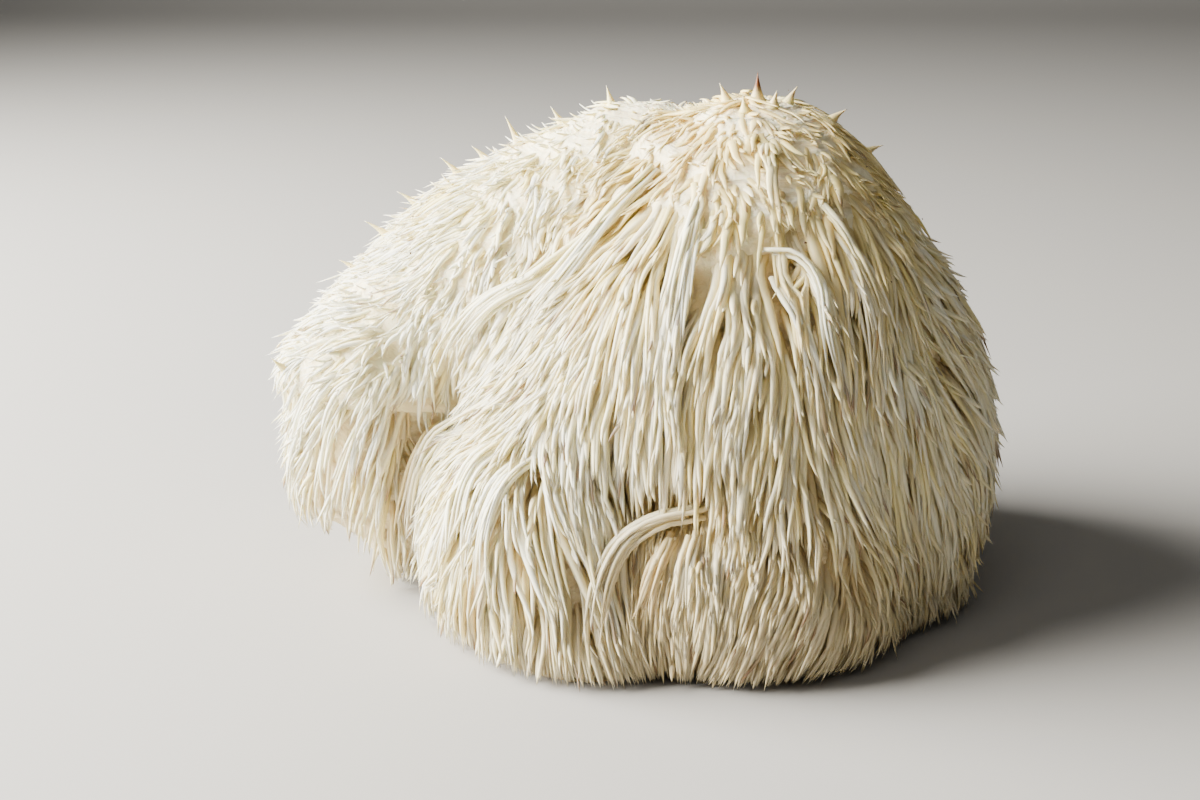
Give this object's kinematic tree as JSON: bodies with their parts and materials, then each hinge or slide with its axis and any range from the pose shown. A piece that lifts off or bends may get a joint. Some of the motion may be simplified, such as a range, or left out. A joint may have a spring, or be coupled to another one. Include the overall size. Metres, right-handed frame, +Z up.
{
  "type": "lion's mane mushroom",
  "caption": "Fresh lion's mane mushroom: a domed, lobed body covered in long hanging cream spines, with a side shelf lobe, cut off flat underneath where it grew on wood",
  "frame": {"origin": "on the cut face the mushroom rests on, under the middle of its box in X and Y", "axes": "+Z up, away from the cut face; +X towards the plain right flank, with the side shelf lobe at -X; -Y is the front, where the longest spines hang"},
  "size_m": [0.194, 0.1472, 0.1333],
  "materials": {
    "mushroom_flesh": "soft matt cream flesh drawn out into long ivory spines, tan in the deep gaps and browner at dried tips; slightly translucent"
  },
  "bodies": {
    "root": {"fruiting_body": "mushroom_flesh"}
  },
  "joints": []
}
